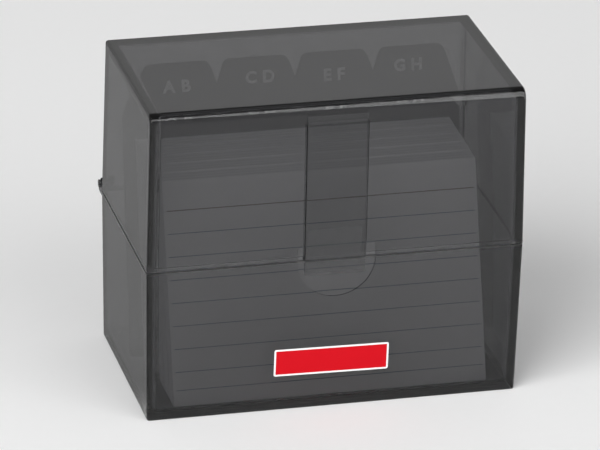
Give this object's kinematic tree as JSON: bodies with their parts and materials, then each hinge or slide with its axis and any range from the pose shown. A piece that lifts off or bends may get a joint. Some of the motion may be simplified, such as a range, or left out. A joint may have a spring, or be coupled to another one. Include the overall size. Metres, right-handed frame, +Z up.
{
  "type": "index card box",
  "caption": "Smoked clear index card box for small landscape cards: a hinged lid with a closing tongue, a leaning file of ruled cards and dark tabbed dividers behind them.",
  "frame": {"origin": "centre of the tray's underside, on the surface that the box stands on", "axes": "+X to the right along the width seen from the front, +Y from the front to the hinge, +Z up"},
  "size_m": [0.125, 0.0785, 0.1062],
  "materials": {
    "smoked_tray": "polished smoked clear polystyrene",
    "smoked_lid": "polished smoked clear polystyrene",
    "label_paper": "red sticker with a narrow white border",
    "card_paper": "white card with grey-blue ruling",
    "divider_plastic": "dark grey sheet"
  },
  "bodies": {
    "tray": {"base_tray": "smoked_tray", "front_label": "label_paper"},
    "lid": {"lid": "smoked_lid"},
    "front_cards": {"ruled_front_card": "card_paper", "card_bundle_1": "card_paper"},
    "cards_2": {"card_bundle_2": "card_paper"},
    "cards_3": {"card_bundle_3": "card_paper"},
    "cards_4": {"card_bundle_4": "card_paper"},
    "cards_5": {"card_bundle_5": "card_paper"},
    "divider_ab": {"divider_ab": "divider_plastic"},
    "divider_cd": {"divider_cd": "divider_plastic"},
    "divider_ef": {"divider_ef": "divider_plastic"},
    "divider_gh": {"divider_gh": "divider_plastic"},
    "divider_ij": {"divider_ij": "divider_plastic"},
    "divider_kl": {"divider_kl": "divider_plastic"},
    "divider_mn": {"divider_mn": "divider_plastic"},
    "divider_op": {"divider_op": "divider_plastic"},
    "divider_qr": {"divider_qr": "divider_plastic"},
    "divider_st": {"divider_st": "divider_plastic"},
    "divider_uv": {"divider_uv": "divider_plastic"},
    "divider_wz": {"divider_wz": "divider_plastic"}
  },
  "joints": [
    {"name": "lid_hinge", "type": "hinge", "parent": "tray", "child": "lid", "pos_m": [0, 0.04, 0.0527], "axis": [-1, 0, 0], "range_deg": [0, 170]},
    {"name": "front_cards_leaf", "type": "hinge", "parent": "tray", "child": "front_cards", "pos_m": [0.0006, -0.0299, 0.00212], "axis": [1, 0, 0], "range_deg": [0, 15]},
    {"name": "cards_2_leaf", "type": "hinge", "parent": "tray", "child": "cards_2", "pos_m": [0.0006, -0.02204, 0.00212], "axis": [1, 0, 0], "range_deg": [0, 12.76]},
    {"name": "cards_3_leaf", "type": "hinge", "parent": "tray", "child": "cards_3", "pos_m": [0.0006, -0.01418, 0.00211], "axis": [1, 0, 0], "range_deg": [0, 10.51]},
    {"name": "cards_4_leaf", "type": "hinge", "parent": "tray", "child": "cards_4", "pos_m": [0.0006, -0.00632, 0.00211], "axis": [1, 0, 0], "range_deg": [0, 8.26]},
    {"name": "cards_5_leaf", "type": "hinge", "parent": "tray", "child": "cards_5", "pos_m": [0.0006, 0.00154, 0.0021], "axis": [1, 0, 0], "range_deg": [0, 6.01]},
    {"name": "divider_ab_leaf", "type": "hinge", "parent": "tray", "child": "divider_ab", "pos_m": [0.0006, 0.01045, 0.00209], "axis": [1, 0, 0], "range_deg": [0, 4.51]},
    {"name": "divider_cd_leaf", "type": "hinge", "parent": "tray", "child": "divider_cd", "pos_m": [0.0006, 0.01072, 0.00209], "axis": [1, 0, 0], "range_deg": [0, 4.21]},
    {"name": "divider_ef_leaf", "type": "hinge", "parent": "tray", "child": "divider_ef", "pos_m": [0.0006, 0.01099, 0.00209], "axis": [1, 0, 0], "range_deg": [0, 3.91]},
    {"name": "divider_gh_leaf", "type": "hinge", "parent": "tray", "child": "divider_gh", "pos_m": [0.0006, 0.01126, 0.00209], "axis": [1, 0, 0], "range_deg": [0, 3.61]},
    {"name": "divider_ij_leaf", "type": "hinge", "parent": "tray", "child": "divider_ij", "pos_m": [0.0006, 0.01153, 0.00209], "axis": [1, 0, 0], "range_deg": [0, 3.31]},
    {"name": "divider_kl_leaf", "type": "hinge", "parent": "tray", "child": "divider_kl", "pos_m": [0.0006, 0.0118, 0.00209], "axis": [1, 0, 0], "range_deg": [0, 3.01]},
    {"name": "divider_mn_leaf", "type": "hinge", "parent": "tray", "child": "divider_mn", "pos_m": [0.0006, 0.01207, 0.00209], "axis": [1, 0, 0], "range_deg": [0, 2.71]},
    {"name": "divider_op_leaf", "type": "hinge", "parent": "tray", "child": "divider_op", "pos_m": [0.0006, 0.01234, 0.00209], "axis": [1, 0, 0], "range_deg": [0, 2.41]},
    {"name": "divider_qr_leaf", "type": "hinge", "parent": "tray", "child": "divider_qr", "pos_m": [0.0006, 0.01261, 0.00209], "axis": [1, 0, 0], "range_deg": [0, 2.11]},
    {"name": "divider_st_leaf", "type": "hinge", "parent": "tray", "child": "divider_st", "pos_m": [0.0006, 0.01288, 0.00209], "axis": [1, 0, 0], "range_deg": [0, 1.81]},
    {"name": "divider_uv_leaf", "type": "hinge", "parent": "tray", "child": "divider_uv", "pos_m": [0.0006, 0.01315, 0.00209], "axis": [1, 0, 0], "range_deg": [0, 1.51]},
    {"name": "divider_wz_leaf", "type": "hinge", "parent": "tray", "child": "divider_wz", "pos_m": [0.0006, 0.01342, 0.00209], "axis": [1, 0, 0], "range_deg": [0, 1.21]}
  ],
  "couplings": [
    {"joint": "cards_2_leaf", "follows": "front_cards_leaf", "ratio": 0.85},
    {"joint": "cards_3_leaf", "follows": "front_cards_leaf", "ratio": 0.7},
    {"joint": "cards_4_leaf", "follows": "front_cards_leaf", "ratio": 0.55},
    {"joint": "cards_5_leaf", "follows": "front_cards_leaf", "ratio": 0.4},
    {"joint": "divider_ab_leaf", "follows": "front_cards_leaf", "ratio": 0.3},
    {"joint": "divider_cd_leaf", "follows": "front_cards_leaf", "ratio": 0.28},
    {"joint": "divider_ef_leaf", "follows": "front_cards_leaf", "ratio": 0.26},
    {"joint": "divider_gh_leaf", "follows": "front_cards_leaf", "ratio": 0.24},
    {"joint": "divider_ij_leaf", "follows": "front_cards_leaf", "ratio": 0.22},
    {"joint": "divider_kl_leaf", "follows": "front_cards_leaf", "ratio": 0.2},
    {"joint": "divider_mn_leaf", "follows": "front_cards_leaf", "ratio": 0.18},
    {"joint": "divider_op_leaf", "follows": "front_cards_leaf", "ratio": 0.16},
    {"joint": "divider_qr_leaf", "follows": "front_cards_leaf", "ratio": 0.14},
    {"joint": "divider_st_leaf", "follows": "front_cards_leaf", "ratio": 0.12},
    {"joint": "divider_uv_leaf", "follows": "front_cards_leaf", "ratio": 0.1},
    {"joint": "divider_wz_leaf", "follows": "front_cards_leaf", "ratio": 0.08}
  ]
}
